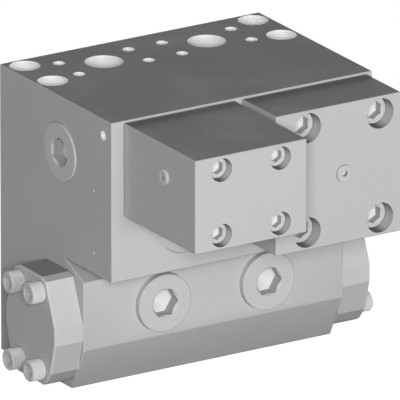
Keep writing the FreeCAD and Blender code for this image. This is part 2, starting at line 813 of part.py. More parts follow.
def relief_block():
    left = left_end + relief_left
    block = milled_block(relief_length, relief_depth, relief_height, left)
    hole = counterbored_hole(screw_m16, m16_clearance, m16_counterbore, relief_clamp_length(),
                             relief_depth)
    cutters = [place(hole, "front", x, front, z) for x, z in relief_screw_points()]
    stop = relief_poppet_rear() - relief_lift
    chamber = rod(relief_seat_diameter, -relief_seat_length, past)
    chamber = chamber.fuse([rod(relief_chamber, stop, -past),
                            rod(relief_spring_bore, -relief_chamber_depth, -past)])
    for x in relief_axes():
        cutters.append(place(chamber, "back", x, front, relief_z))
        cutters.append(place(ring_groove(relief_seal_middle()), "back", x, front, relief_z))
    cutters.append(place(ring_groove(relief_return_seal), "back", relief_x, front, relief_z))
    gallery_y = front - relief_gallery_reach
    right = left + relief_length
    cutters.append(drilling(relief_gallery, (right - past, gallery_y, relief_z),
                            (relief_axes()[0], gallery_y, relief_z)))
    cutters.append(place(plug_hole(gallery_plug, 0), "right", right, gallery_y, relief_z))
    cutters.append(place(plug_hole(gauge_plug, 0), "front", relief_x, front - relief_depth, relief_z))
    cutters.append(drilling(pilot_hole, (relief_x, front - relief_depth + past, relief_z),
                            (relief_x, gallery_y, relief_z)))
    cutters.append(drilling(relief_seat_bore, (relief_x, gallery_y, relief_z),
                            (relief_x, front + past, relief_z)))
    return block.cut(cutters)


def relief_seal_middle():
    return relief_seat_diameter / 2 + ring_width


def relief_block_seals():
    places = [(x, relief_seal_middle()) for x in relief_axes()] + [(relief_x, relief_return_seal)]
    rings = [place(rubber_ring(middle), "back", x, front, relief_z) for x, middle in places]
    return Part.makeCompound(rings)


def relief_seat():
    """Hardened seat ring, pressed into the back of the relief block."""
    outside = relief_seat_diameter / 2
    bore = relief_seat_bore / 2
    edge = relief_seat_edge
    return turned([(bore, 0), (outside, 0), (outside, -relief_seat_length),
                   (bore + edge, -relief_seat_length), (bore, edge - relief_seat_length)])


def relief_cone_zero():
    """Height at which the relief poppet's cone would come to a point."""
    return relief_seat_bore / 2 + relief_seat_edge - relief_seat_length - seat_gap


def relief_poppet_rear():
    return relief_cone_zero() - relief_tip / 2 - relief_poppet_length


def relief_poppet():
    """Relief poppet with its cone on the seat ring's inner edge."""
    outside = relief_chamber / 2 - poppet_gap
    nose = relief_tip / 2
    front_z = relief_cone_zero() - nose
    rear = relief_poppet_rear()
    hollow = relief_hollow / 2
    floor = rear + relief_hollow_depth
    return turned([(0, front_z), (nose, front_z), (outside, relief_cone_zero() - outside),
                   (outside, rear), (hollow, rear), (hollow, floor), (0, floor)])


def relief_spring():
    return coil_spring(relief_spring_wire, relief_spring_mean, -relief_chamber_depth,
                       relief_poppet_rear() + relief_hollow_depth, relief_spring_turns)


def main_valve_nodes():
    nodes = {"valve_body": valve_body()}
    spool_at = (0, spool_y, -spool_drop)
    nodes["main_spool"] = place(main_spool(), "right", *spool_at)
    for hand, sign in HANDS.items():
        end = sign * body_length / 2
        spool_end = end - sign * spool_end_inset
        axis = (spool_y, -spool_drop)
        nodes[hand + "_cover"] = place(end_cover(), hand, end, *axis)
        seal = rubber_ring(cover_seal_middle).mirror(V(0, 0, 0), V(0, 0, 1))
        nodes[hand + "_cover_seal"] = place(seal, hand, end, *axis)
        nodes[hand + "_cover_screws"] = cover_screws(hand)
        nodes[hand + "_spring_seat"] = place(spring_seat(), hand, spool_end, *axis)
        nodes[hand + "_main_spring"] = place(main_spring(), hand, spool_end, *axis)
    return nodes


def check_valve_nodes():
    nodes = {}
    for hand, sign in HANDS.items():
        side_at = (hand, sign * (body_length / 2 - side_plug_sink), side_plug_y, -side_plug_drop)
        check_at = ("front", left_end + check_plug_x[hand], front + check_plug_sink, -check_plug_drop)
        lower_at = ("front", sign * (body_length / 2 - lower_plug_inset), lower_face, -lower_plug_drop)
        for name, at in ((hand + "_makeup", side_at), (hand + "_check", check_at)):
            nodes[name + "_plug"] = place(plug(big_plug, at is side_at), *at)
            nodes[name + "_plug_seal"] = place(plug_seal(big_plug), *at)
            nodes[name + "_spring"] = place(check_spring(), *at)
            nodes[name + "_poppet"] = place(check_poppet(), *at)
        nodes[hand + "_lower_plug"] = place(plug(big_plug, False), *lower_at)
        nodes[hand + "_lower_plug_seal"] = place(plug_seal(big_plug), *lower_at)
    return nodes


def relief_nodes():
    nodes = {"relief_block": relief_block(), "relief_block_seals": relief_block_seals()}
    nodes["relief_block_screws"] = screw_row(relief_screw_points(), screw_m16, relief_screw_length,
                                             relief_clamp_length(), front)
    for hand, x in zip(HANDS, relief_axes()):
        nodes[hand + "_relief_seat"] = place(relief_seat(), "back", x, front, relief_z)
        nodes[hand + "_relief_poppet"] = place(relief_poppet(), "back", x, front, relief_z)
        nodes[hand + "_relief_spring"] = place(relief_spring(), "back", x, front, relief_z)
    nodes["relief_gauge_plug"] = place(plug(gauge_plug, False), "front", relief_x,
                                       front - relief_depth, relief_z)
    nodes["relief_gallery_plug"] = place(plug(gallery_plug, False), *gallery_plug_place())
    return nodes


def gallery_plug_place():
    return ("right", left_end + relief_left + relief_length, front - relief_gallery_reach, relief_z)


def brake_nodes():
    bottom_at = ("bottom", brake_x, front - brake_spool_reach, -block_drop - brake_height)
    nodes = {"brake_block": brake_block(), "brake_block_seals": brake_block_seals()}
    nodes["brake_block_screws"] = screw_row(brake_screw_points(), screw_m12, brake_screw_length,
                                            brake_clamp_length(), front)
    nodes["brake_spool"] = place(brake_spool(), *bottom_at)
    nodes["brake_spring"] = place(brake_spring(), *bottom_at)
    nodes["brake_end_plug"] = place(brake_end_plug(), *bottom_at)
    nodes["brake_end_plug_seal"] = place(plug_seal(end_plug), *bottom_at)
    nodes["brake_gauge_plug"] = place(plug(gauge_plug, True), *brake_gauge_place())
    return nodes


def brake_gauge_place():
    return ("left", left_end + brake_left, front - brake_gauge_reach, -block_drop - brake_gauge_drop)


def small_plug_seals():
    """Rings of the gauge plugs and of the gallery plug, as a group of separate solids."""
    relief_at = ("front", relief_x, front - relief_depth, relief_z)
    rings = [place(plug_seal(gauge_plug), *relief_at), place(plug_seal(gauge_plug), *brake_gauge_place()),
             place(plug_seal(gallery_plug), *gallery_plug_place())]
    return Part.makeCompound(rings)


def main():
    os.makedirs("parts", exist_ok=True)
    nodes = {}
    nodes.update(main_valve_nodes())
    nodes.update(check_valve_nodes())
    nodes.update(relief_nodes())
    nodes.update(brake_nodes())
    nodes["small_plug_seals"] = small_plug_seals()
    for name, shape in nodes.items():
        shape.exportStep("parts/" + name + ".step")
        print(name, len(shape.Solids), round(shape.Volume / 1000, 2), shape.isValid())


main()
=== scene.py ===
import json
import math

import bmesh
import bpy
from mathutils import Matrix, Vector

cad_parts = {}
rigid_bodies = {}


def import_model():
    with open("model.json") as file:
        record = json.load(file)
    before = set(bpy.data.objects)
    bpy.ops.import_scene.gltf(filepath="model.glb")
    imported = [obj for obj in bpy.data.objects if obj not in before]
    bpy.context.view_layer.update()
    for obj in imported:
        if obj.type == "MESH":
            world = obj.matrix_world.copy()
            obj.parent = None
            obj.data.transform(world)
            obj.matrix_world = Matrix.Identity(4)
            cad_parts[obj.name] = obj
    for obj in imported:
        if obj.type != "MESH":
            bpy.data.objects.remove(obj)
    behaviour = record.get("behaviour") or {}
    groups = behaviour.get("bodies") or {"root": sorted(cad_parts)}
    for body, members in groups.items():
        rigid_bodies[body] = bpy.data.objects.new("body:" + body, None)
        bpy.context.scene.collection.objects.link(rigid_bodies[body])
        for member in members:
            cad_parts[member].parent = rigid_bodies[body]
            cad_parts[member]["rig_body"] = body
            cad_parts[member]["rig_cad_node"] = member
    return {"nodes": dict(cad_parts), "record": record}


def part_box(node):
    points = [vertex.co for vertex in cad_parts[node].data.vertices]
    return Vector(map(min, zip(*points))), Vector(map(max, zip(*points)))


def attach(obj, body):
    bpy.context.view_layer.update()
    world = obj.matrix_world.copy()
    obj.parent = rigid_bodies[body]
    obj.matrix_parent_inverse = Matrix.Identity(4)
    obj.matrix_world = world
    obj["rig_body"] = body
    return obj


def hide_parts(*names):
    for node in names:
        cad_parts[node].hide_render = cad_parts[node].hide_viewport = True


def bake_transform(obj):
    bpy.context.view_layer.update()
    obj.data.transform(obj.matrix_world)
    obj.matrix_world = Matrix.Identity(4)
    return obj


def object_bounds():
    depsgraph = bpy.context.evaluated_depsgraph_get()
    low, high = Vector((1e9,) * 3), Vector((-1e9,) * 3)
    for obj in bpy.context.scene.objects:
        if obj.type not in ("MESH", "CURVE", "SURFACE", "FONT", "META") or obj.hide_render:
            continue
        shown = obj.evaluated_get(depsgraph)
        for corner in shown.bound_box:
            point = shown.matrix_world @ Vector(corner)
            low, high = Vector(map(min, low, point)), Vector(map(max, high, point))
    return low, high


# Looks of the double counterbalance valve: phosphated castings, plated plugs and screws.
# Metres, in the valve's own frame: +Z up, X along the spool, the front faces -Y.

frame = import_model()
cad_box = [list(corner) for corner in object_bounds()]
nodes = frame["nodes"]
record = frame["record"]
body_of_node = {name: body for body, names in record["behaviour"]["bodies"].items() for name in names}
slot_of_node = {part["node"]: part["material_slot"] for part in record["subparts"]}
valve_middle = (Vector(cad_box[0]) + Vector(cad_box[1])) / 2

mm = 0.001

# The photograph's view: a far camera with a long lens.
view_turn = math.radians(-31.75)
view_rise = math.radians(19.42)
view_width = 0.327          # metres across the picture, in the plane of the blocks' front corner
view_right = 0.03816        # from the valve's origin to the middle of the picture
view_up = -0.12277
view_plane = 0.05           # from the origin towards the camera, to where the width holds
sensor = 36.0
lens = 1600.0
near_clip = 1.0

# Lamps, by where they are seen from the middle of the valve: turn and rise in degrees, distance and
# size in metres, and a level that is 1 where a white card that faces the lamp renders as white.
LAMPS = {
    "key_lamp": dict(turn=-31.75, rise=19.4, far=5.0, size=1.0, level=0.6),
    "front_lamp": dict(turn=0.0, rise=3.5, far=5.0, size=1.3, level=0.4),
    "back_lamp": dict(turn=150.0, rise=3.0, far=5.0, size=1.5, level=0.75),
}
room_level = 0.14           # light from all round
floor_span = 8.0
floor_paint = 0.35          # how light the floor's paper is where it takes the shadow
floor_glow = 0.92           # white that the paper shows there of its own, further out it shows 1
shadow_near = 0.25          # from the valve's origin to where the shadow starts to fade
shadow_far = 0.55           # and to where it has gone

# Sides of the valve: outwards, and the direction that is up on that side.
SIDES = {
    "left": (Vector((-1, 0, 0)), Vector((0, 0, 1))),
    "right": (Vector((1, 0, 0)), Vector((0, 0, 1))),
    "front": (Vector((0, -1, 0)), Vector((0, 0, 1))),
    "back": (Vector((0, 1, 0)), Vector((0, 0, 1))),
    "top": (Vector((0, 0, 1)), Vector((0, 1, 0))),
    "bottom": (Vector((0, 0, -1)), Vector((0, -1, 0))),
}
HANDS = ("left", "right")


# Camera and lamps

def direction(turn, rise):
    """Unit vector to a place seen at this turn and rise, turn 0 being straight in front."""
    return Vector((math.sin(turn) * math.cos(rise), -math.cos(turn) * math.cos(rise), math.sin(rise)))


def add_camera():
    towards = direction(view_turn, view_rise)
    right = Vector((math.cos(view_turn), math.sin(view_turn), 0))
    up = towards.cross(right)
    far = view_width * lens / sensor
    camera = bpy.data.cameras.new("camera")
    camera.sensor_width = sensor
    camera.lens = lens
    camera.clip_start = near_clip
    camera.clip_end = 2 * far
    bpy.context.scene.view_settings.view_transform = "Standard"
    holder = bpy.data.objects.new("camera", camera)
    holder.location = right * view_right + up * view_up + towards * (view_plane + far)
    holder.rotation_euler = (math.pi / 2 - view_rise, 0, view_turn)
    bpy.context.scene.collection.objects.link(holder)
    bpy.context.scene.camera = holder


def add_lamp(name, turn, rise, far, size, level):
    """Square lamp that faces the middle of the valve and isn't seen itself."""
    towards = direction(math.radians(turn), math.radians(rise))
    lamp = bpy.data.lights.new(name, "AREA")
    lamp.shape = "SQUARE"
    lamp.size = size
    lamp.energy = level * math.pi ** 2 * far ** 2
    holder = bpy.data.objects.new(name, lamp)
    holder.location = valve_middle + towards * far
    holder.rotation_mode = "QUATERNION"
    holder.rotation_quaternion = towards.to_track_quat("Z", "Y")
    holder.visible_camera = False
    bpy.context.scene.collection.objects.link(holder)


# Steps in a node tree

def feed(tree, socket, value):
    """Link an output to a socket, or set the socket where the value is a plain one."""
    if isinstance(value, bpy.types.NodeSocket):
        tree.links.new(value, socket)
    else:
        socket.default_value = value


def reckon(tree, operation, *values):
    made = tree.nodes.new("ShaderNodeMath")
    made.operation = operation
    for socket, value in zip(made.inputs, values):
        feed(tree, socket, value)
    return made.outputs[0]


def mix_numbers(tree, share, low, high):
    """low where the share is 0, high where it is 1."""
    made = tree.nodes.new("ShaderNodeMix")
    for name, value in (("Factor", share), ("A", low), ("B", high)):
        feed(tree, made.inputs[name], value)
    return made.outputs["Result"]


def tint(tree, share, low, high):
    """One colour where the share is 0, the other where it is 1."""
    made = tree.nodes.new("ShaderNodeMix")
    made.data_type = "RGBA"
    for socket, value in ((made.inputs[0], share), (made.inputs[6], low), (made.inputs[7], high)):
        feed(tree, socket, value)
    return made.outputs[2]


def ramp(tree, value, start, end, easing="LINEAR"):
    """0 at the start value and before it, 1 at the end value and beyond, whichever way it runs."""
    made = tree.nodes.new("ShaderNodeMapRange")
    made.interpolation_type = easing
    for name, number in (("Value", value), ("From Min", start), ("From Max", end)):
        feed(tree, made.inputs[name], number)
    return made.outputs["Result"]


def split(tree, vector):
    """The x, y and z of a vector."""
    made = tree.nodes.new("ShaderNodeSeparateXYZ")
    feed(tree, made.inputs[0], vector)
    return made.outputs


# Surroundings

def seen_directly(tree):
    """1 on rays that show the surroundings: from the camera, in gloss and through glass."""
    path = tree.nodes.new("ShaderNodeLightPath")
    seen = reckon(tree, "MAXIMUM", path.outputs["Is Camera Ray"], path.outputs["Is Glossy Ray"])
    return reckon(tree, "MAXIMUM", seen, path.outputs["Is Transmission Ray"])


def add_world():
    world = bpy.data.worlds.new("studio")
    world.use_nodes = True
    tree = world.node_tree
    level = mix_numbers(tree, seen_directly(tree), room_level, 1.0)
    feed(tree, tree.nodes["Background"].inputs["Color"], (1, 1, 1, 1))
    feed(tree, tree.nodes["Background"].inputs["Strength"], level)
    bpy.context.scene.world = world


def floor_paper():
    """White paper that keeps the shadow near the valve and is clear from below."""
    material = bpy.data.materials.new("floor_paper")
    material.use_nodes = True
    tree = material.node_tree
    tree.nodes.clear()
    away = tree.nodes.new("ShaderNodeVectorMath")
    away.operation = "LENGTH"
    feed(tree, away.inputs[0], tree.nodes.new("ShaderNodeTexCoord").outputs["Object"])
    fade = ramp(tree, away.outputs["Value"], shadow_near, shadow_far, "SMOOTHSTEP")
    paper = tree.nodes.new("ShaderNodeBsdfDiffuse")
    paint = mix_numbers(tree, fade, floor_paint, 0.0)
    paint = mix_numbers(tree, seen_directly(tree), floor_paint, paint)
    tone = tree.nodes.new("ShaderNodeCombineColor")
    for channel in tone.inputs[:3]:
        feed(tree, channel, paint)
    feed(tree, paper.inputs["Color"], tone.outputs["Color"])
    glow = tree.nodes.new("ShaderNodeEmission")
    level = mix_numbers(tree, fade, floor_glow, 1.0)
    feed(tree, glow.inputs["Strength"], reckon(tree, "MULTIPLY", seen_directly(tree), level))
    both = tree.nodes.new("ShaderNodeAddShader")
    feed(tree, both.inputs[0], paper.outputs[0])
    feed(tree, both.inputs[1], glow.outputs[0])
    clear = tree.nodes.new("ShaderNodeBsdfTransparent")
    sides = tree.nodes.new("ShaderNodeMixShader")
    feed(tree, sides.inputs[0], tree.nodes.new("ShaderNodeNewGeometry").outputs["Backfacing"])
    feed(tree, sides.inputs[1], both.outputs[0])
    feed(tree, sides.inputs[2], clear.outputs[0])
    output = tree.nodes.new("ShaderNodeOutputMaterial")
    feed(tree, output.inputs["Surface"], sides.outputs[0])
    return material


def add_floor():
    """Sheet of paper under the lowest point of the valve."""
    floor = start_piece("floor", bpy.ops.mesh.primitive_plane_add, size=floor_span,
                        location=(0, 0, cad_box[0][2]))
    floor.data.materials.append(floor_paper())


# Effects that the finishes share

NUMBER = "NodeSocketFloat"
VECTOR = "NodeSocketVector"


def start_group(name, inputs, outputs):
    """New node group with named sockets: (group, its input node, its output node)."""
    group = bpy.data.node_groups.new(name, "ShaderNodeTree")
    for socket, kind in inputs:
        group.interface.new_socket(socket, in_out="INPUT", socket_type=kind)
    for socket in outputs:
        group.interface.new_socket(socket, in_out="OUTPUT", socket_type=NUMBER)
    return group, group.nodes.new("NodeGroupInput"), group.nodes.new("NodeGroupOutput")


def use_group(tree, group, **values):
    made = tree.nodes.new("ShaderNodeGroup")
    made.node_tree = group
    for name, value in values.items():
        feed(tree, made.inputs[name], value)
    return made


def ripple(tree, steps):
    """Wave between 0 and 1 that comes back after each whole step."""
    wave = reckon(tree, "SINE", reckon(tree, "MULTIPLY", steps, 2 * math.pi))
    return reckon(tree, "MULTIPLY_ADD", wave, 0.5, 0.5)


faces_along = 0.7           # a face looks along an axis where its normal has more than this of it
cutter_reach = 0.6          # radius of the face mill, as a share of the distance between its paths
band_draw = 0.37            # added to a path's number, which its tone is drawn from


def milled_face_group():
    """Marks of a face mill: arcs one feed apart, in bands as wide as the cutter's path."""
    tree, given, made = start_group(
        "milled face", [("Place", VECTOR), ("Facing", VECTOR), ("Feed", NUMBER), ("Cutter", NUMBER)],
        ["Height", "Band"])
    x, y, z = split(tree, given.outputs["Place"])
    normal = split(tree, given.outputs["Facing"])
    to_side = reckon(tree, "GREATER_THAN", reckon(tree, "ABSOLUTE", normal["X"]), faces_along)
    to_top = reckon(tree, "GREATER_THAN", reckon(tree, "ABSOLUTE", normal["Z"]), faces_along)
    across = mix_numbers(tree, to_side, x, y)
    along = mix_numbers(tree, to_top, z, y)
    path = reckon(tree, "DIVIDE", along, given.outputs["Cutter"])
    row = reckon(tree, "FLOOR", path)
    off = reckon(tree, "SUBTRACT", reckon(tree, "SUBTRACT", path, row), 0.5)
    bow = reckon(tree, "SUBTRACT", cutter_reach ** 2, reckon(tree, "MULTIPLY", off, off))
    bow = reckon(tree, "MULTIPLY", reckon(tree, "SQRT", bow), given.outputs["Cutter"])
    steps = reckon(tree, "DIVIDE", reckon(tree, "ADD", across, bow), given.outputs["Feed"])
    feed(tree, made.inputs["Height"], ripple(tree, steps))
    tone = tree.nodes.new("ShaderNodeTexWhiteNoise")
    tone.noise_dimensions = "1D"
    feed(tree, tone.inputs["W"], reckon(tree, "ADD", row, band_draw))
    feed(tree, made.inputs["Band"], tone.outputs["Value"])
    return tree


def turned_face_group():
    """Fine rings that a lathe tool leaves about the piece's own axis, on its ends and its sides."""
    tree, given, made = start_group("turned face", [("Place", VECTOR), ("Feed", NUMBER)], ["Height"])
    x, y, z = split(tree, given.outputs["Place"])
    squares = [reckon(tree, "MULTIPLY", axis, axis) for axis in (x, y)]
    out = reckon(tree, "SQRT", reckon(tree, "ADD", *squares))
    steps = reckon(tree, "DIVIDE", reckon(tree, "ADD", out, z), given.outputs["Feed"])
    feed(tree, made.inputs["Height"], ripple(tree, steps))
    return tree


edge_samples = 4
wear_starts = 0.99          # cosine between the true normal and that of the rounded edge
wear_full = 0.85


def worn_edge_group():
    """1 on the very edges of a piece, where handling rubs its finish away."""
    tree, given, made = start_group("worn edge", [("Width", NUMBER)], ["Wear"])
    rounded = tree.nodes.new("ShaderNodeBevel")
    rounded.samples = edge_samples
    feed(tree, rounded.inputs["Radius"], given.outputs["Width"])
    match = tree.nodes.new("ShaderNodeVectorMath")
    match.operation = "DOT_PRODUCT"
    feed(tree, match.inputs[0], rounded.outputs["Normal"])
    feed(tree, match.inputs[1], tree.nodes.new("ShaderNodeNewGeometry").outputs["Normal"])
    feed(tree, made.inputs["Wear"], ramp(tree, match.outputs["Value"], wear_starts, wear_full))
    return tree


grain_finer = 22.0          # the grain is this many times as fine as the clouds
cloud_detail = 3.0


def blotch_group():
    """Soft clouds, and a grain that is much finer, both from 0 to 1."""
    tree, given, made = start_group("blotches", [("Place", VECTOR), ("Scale", NUMBER)], ["Cloud", "Grain"])
    for name, finer in (("Cloud", 1.0), ("Grain", grain_finer)):
        noise = tree.nodes.new("ShaderNodeTexNoise")
        feed(tree, noise.inputs["Vector"], given.outputs["Place"])
        feed(tree, noise.inputs["Scale"], reckon(tree, "MULTIPLY", given.outputs["Scale"], finer))
        feed(tree, noise.inputs["Detail"], cloud_detail)
        feed(tree, made.inputs[name], noise.outputs["Factor" if "Factor" in noise.outputs else "Fac"])
    return tree


level_only = 12.0           # the higher, the more the painted shade on top keeps to level faces
under_slope = 1.15          # painted shade grows this fast with the downward part of a face's normal
under_most = 0.8            # up to this
shade_least = 0.75          # share of the painted shade that is left where a cloud is thinnest
shade_cloud = 0.5           # and what a full cloud adds to it


def painted_facing_shade_group():
    """Painted shade by facing: darker on level faces that look up and on faces that look down, in patches.
    """
    tree, given, made = start_group("painted facing shade", [("Facing", VECTOR), ("Cloud", NUMBER)], ["Grime"])
    upwards = split(tree, given.outputs["Facing"])["Z"]
    above = reckon(tree, "POWER", reckon(tree, "MAXIMUM", upwards, 0.0), level_only)
    below = reckon(tree, "MULTIPLY", reckon(tree, "MINIMUM", upwards, 0.0), -under_slope)
    both = reckon(tree, "ADD", above, reckon(tree, "MINIMUM", below, under_most))
    patchy = reckon(tree, "MULTIPLY_ADD", given.outputs["Cloud"], shade_cloud, shade_least)
    feed(tree, made.inputs["Grime"], reckon(tree, "MINIMUM", reckon(tree, "MULTIPLY", both, patchy), 1.0))
    return tree


corner_samples = 8
corner_starts = 0.88        # open share of a spot's surroundings where the painted shade starts
corner_full = 0.55


def painted_crevice_shade_group():
    """Painted shade: 1 in inner corners and at the feet of collars and screw heads, by how closed in the
    surroundings are.
    """
    tree, given, made = start_group("painted crevice shade", [("Reach", NUMBER)], ["Dust"])
    corner = tree.nodes.new("ShaderNodeAmbientOcclusion")
    corner.samples = corner_samples
    feed(tree, corner.inputs["Distance"], given.outputs["Reach"])
    feed(tree, made.inputs["Dust"], ramp(tree, corner.outputs["AO"], corner_starts, corner_full))
    return tree


# Finishes

rub_least = 0.5             # how far the worn colour shows on a worn edge without grain
rub_grain = 0.6             # and what the grain adds to it
tool_mark = 0.004 * mm      # depth of the marks of milling and turning


def start_material(name, metallic, specular):
    material = bpy.data.materials.new(name)
    material.use_nodes = True
    shader = material.node_tree.nodes["Principled BSDF"]
    shader.inputs["Metallic"].default_value = metallic
    shader.inputs["Specular IOR Level"].default_value = specular
    return material, material.node_tree, shader


def toned(colour, factor=1.0):
    """The colour made lighter or darker, as red, green, blue and a full alpha."""
    return (*(channel * factor for channel in colour), 1)


def rub_bright(tree, base, worn, wear, grain):
    """The worn colour over the base where the edges wear, broken up by the grain."""
    broken = reckon(tree, "MULTIPLY_ADD", grain, rub_grain, rub_least)
    return tint(tree, reckon(tree, "MULTIPLY", wear, broken), base, toned(worn))


def roughen(tree, shader, shade, spread, rough):
    feed(tree, shader.inputs["Roughness"], reckon(tree, "MULTIPLY_ADD", shade, spread, rough))


def bump(tree, shader, height, depth):
    made = tree.nodes.new("ShaderNodeBump")
    feed(tree, made.inputs["Height"], height)
    feed(tree, made.inputs["Distance"], depth)
    feed(tree, shader.inputs["Normal"], made.outputs["Normal"])


milled_clouds = 14.0        # per metre
band_share = 0.25           # what the brightest of the cutter's paths adds to the tone
cloud_share = 0.7           # and what a full cloud adds
cloud_least = 0.15          # the tone without either
milled_dark = 0.93          # factor on the colour at tone 0
milled_light = 1.05         # and from tone 1 on
milled_rough_spread = 0.12  # roughness that a tone of 1 adds
milled_grain = 0.6          # height of the grain, as a share of the tool marks' height
# Colour of the painted shade in inner corners, and how far from a corner it reaches.
corner_shade_colour = (0.22, 0.215, 0.21)
corner_shade_reach = 1.1 * mm


def milled_metal(name, colour, worn, rub, feed_mark, cutter, specular, rough, shade_depth):
    """Milled surface under a thin grey finish, rubbed brighter at its edges, with painted shade on faces
    that look up or down and in inner corners.
    """
    material, tree, shader = start_material(name, metallic=0.0, specular=specular)
    coordinates = tree.nodes.new("ShaderNodeTexCoord")
    place, facing = coordinates.outputs["Object"], coordinates.outputs["Normal"]
    marks = use_group(tree, milled_face, Place=place, Facing=facing, Feed=feed_mark, Cutter=cutter)
    spots = use_group(tree, blotches, Place=place, Scale=milled_clouds)
    cloud, grain = spots.outputs["Cloud"], spots.outputs["Grain"]
    wear = use_group(tree, worn_edge, Width=rub).outputs["Wear"]
    shade = reckon(tree, "MULTIPLY_ADD", cloud, cloud_share, cloud_least)
    shade = reckon(tree, "MULTIPLY_ADD", marks.outputs["Band"], band_share, shade)
    base = tint(tree, shade, toned(colour, milled_dark), toned(colour, milled_light))
    # Painted shade: darker on level faces that look up and on faces that look down, not on worn edges.
    shade_share = use_group(tree, painted_facing_shade, Facing=facing, Cloud=cloud).outputs["Grime"]
    shade_share = reckon(tree, "MULTIPLY", shade_share, reckon(tree, "SUBTRACT", 1.0, wear))
    base = tint(tree, shade_share, base, toned(colour, 1 - shade_depth))
    base = rub_bright(tree, base, worn, wear, grain)
    # Painted shade in inner corners and at the feet of collars and screw heads.
    corner_shade = use_group(tree, painted_crevice_shade, Reach=corner_shade_reach).outputs["Dust"]
    feed(tree, shader.inputs["Base Color"], tint(tree, corner_shade, base, toned(corner_shade_colour)))
    roughen(tree, shader, shade, milled_rough_spread, rough)
    height = reckon(tree, "MULTIPLY_ADD", grain, milled_grain, marks.outputs["Height"])
    bump(tree, shader, height, tool_mark)
    return material


turned_clouds = 60.0        # per metre
turned_rub = 0.5 * mm       # width of the rubbed edges
turned_dark = 0.94          # factor on the colour without a cloud
turned_light = 1.04         # and in a full one
turned_rough_spread = 0.15  # roughness that a full cloud adds


def turned_metal(name, colour, worn, feed_mark, metallic, specular, rough):
    """Turned surface, bare or plated. Its pattern follows the place on the piece before it was fitted."""
    material, tree, shader = start_material(name, metallic, specular)
    own = tree.nodes.new("ShaderNodeAttribute")
    own.attribute_name = "own_place"
    place = own.outputs["Vector"]
    rings = use_group(tree, turned_face, Place=place, Feed=feed_mark)
    spots = use_group(tree, blotches, Place=place, Scale=turned_clouds)
    wear = use_group(tree, worn_edge, Width=turned_rub).outputs["Wear"]
    cloud = spots.outputs["Cloud"]
    base = tint(tree, cloud, toned(colour, turned_dark), toned(colour, turned_light))
    base = rub_bright(tree, base, worn, wear, spots.outputs["Grain"])
    feed(tree, shader.inputs["Base Color"], base)
    roughen(tree, shader, cloud, turned_rough_spread, rough)
    bump(tree, shader, rings.outputs["Height"], tool_mark)
    return material


rubber_clouds = 90.0        # per metre
rubber_grain = 0.01 * mm


def seal_rubber():
    """Black rubber, a little dusty."""
    material, tree, shader = start_material("seal_rubber", metallic=0.0, specular=0.3)
    place = tree.nodes.new("ShaderNodeTexCoord").outputs["Object"]
    spots = use_group(tree, blotches, Place=place, Scale=rubber_clouds)
    black, dusty = (0.018, 0.018, 0.019), (0.035, 0.034, 0.033)
    base = tint(tree, spots.outputs["Cloud"], toned(black), toned(dusty))
    feed(tree, shader.inputs["Base Color"], base)
    roughen(tree, shader, spots.outputs["Cloud"], spread=0.2, rough=0.55)
    bump(tree, shader, spots.outputs["Grain"], rubber_grain)
    return material


# Modelling

def start_piece(name, add, **size):
    """Deselect everything, add a primitive, name it and keep its place in its mesh."""
    bpy.ops.object.select_all(action="DESELECT")
    add(**size)
    bpy.ops.object.transform_apply(location=True, rotation=True, scale=True)
    bpy.context.object.name = name
    return bpy.context.object


def add_rod(name, radius, low, high, corners):
    """Upright prism about the local Z axis, between two heights."""
    return start_piece(name, bpy.ops.mesh.primitive_cylinder_add, vertices=corners, radius=radius,
                       depth=high - low, location=(0, 0, (low + high) / 2))


def add_cone(name, low_radius, high_radius, low, high, corners):
    return start_piece(name, bpy.ops.mesh.primitive_cone_add, vertices=corners, radius1=low_radius,
                       radius2=high_radius, depth=high - low, location=(0, 0, (low + high) / 2))


def only(piece):
    """Make the piece the one that is selected and active."""
    bpy.ops.object.select_all(action="DESELECT")
    bpy.context.view_layer.objects.active = piece
    piece.select_set(True)


def edit(piece, action):
    """Open the piece in edit mode with all of its mesh selected, or with none of it."""
    only(piece)
    bpy.ops.object.mode_set(mode="EDIT")
    bpy.ops.mesh.select_all(action=action)


def done_editing():
    bpy.ops.object.mode_set(mode="OBJECT")


def turn_outwards():
    """Turn all faces of the piece in edit mode outwards and leave that mode."""
    bpy.ops.mesh.select_all(action="SELECT")
    bpy.ops.mesh.normals_make_consistent(inside=False)
    done_editing()


def pick(piece, mode, chosen):
    """In edit mode, select the faces by middle and normal, or the edges whose ends pass the test."""
    edit(piece, "DESELECT")
    bpy.ops.mesh.select_mode(type=mode)
    mesh = bmesh.from_edit_mesh(piece.data)
    if mode == "FACE":
        for face in mesh.faces:
            face.select_set(chosen(face.calc_center_median(), face.normal))
    else:
        for edge in mesh.edges:
            edge.select_set(all(chosen(corner.co) for corner in edge.verts))
    bmesh.update_edit_mesh(piece.data)


same_level = 0.001 * mm     # heights that differ by less are one


def lies_at(height):
    """Test for edges and faces in the plane at that local height."""
    return lambda spot, normal=None: abs(spot.z - height) < same_level


def grow_inwards(piece, height, steps):
    """From the face at a height, go on with (radius, height) steps about the local Z axis."""
    pick(piece, "FACE", lies_at(height))
    mesh = bmesh.from_edit_mesh(piece.data)
    radius = max(corner.co.xy.length for face in mesh.faces if face.select for corner in face.verts)
    for wanted, level in steps:
        bpy.ops.mesh.extrude_region_move(TRANSFORM_OT_translate={"value": (0, 0, level - height)})
        bpy.ops.transform.resize(value=(wanted / radius, wanted / radius, 1),
                                 center_override=(0, 0, level))
        radius, height = wanted, level
    done_editing()


def round_edge(piece, height, width):
    """Bevel the rim that lies at that local height."""
    pick(piece, "EDGE", lies_at(height))
    bpy.ops.mesh.bevel(offset=width, offset_type="WIDTH", segments=1, affect="EDGES")
    done_editing()


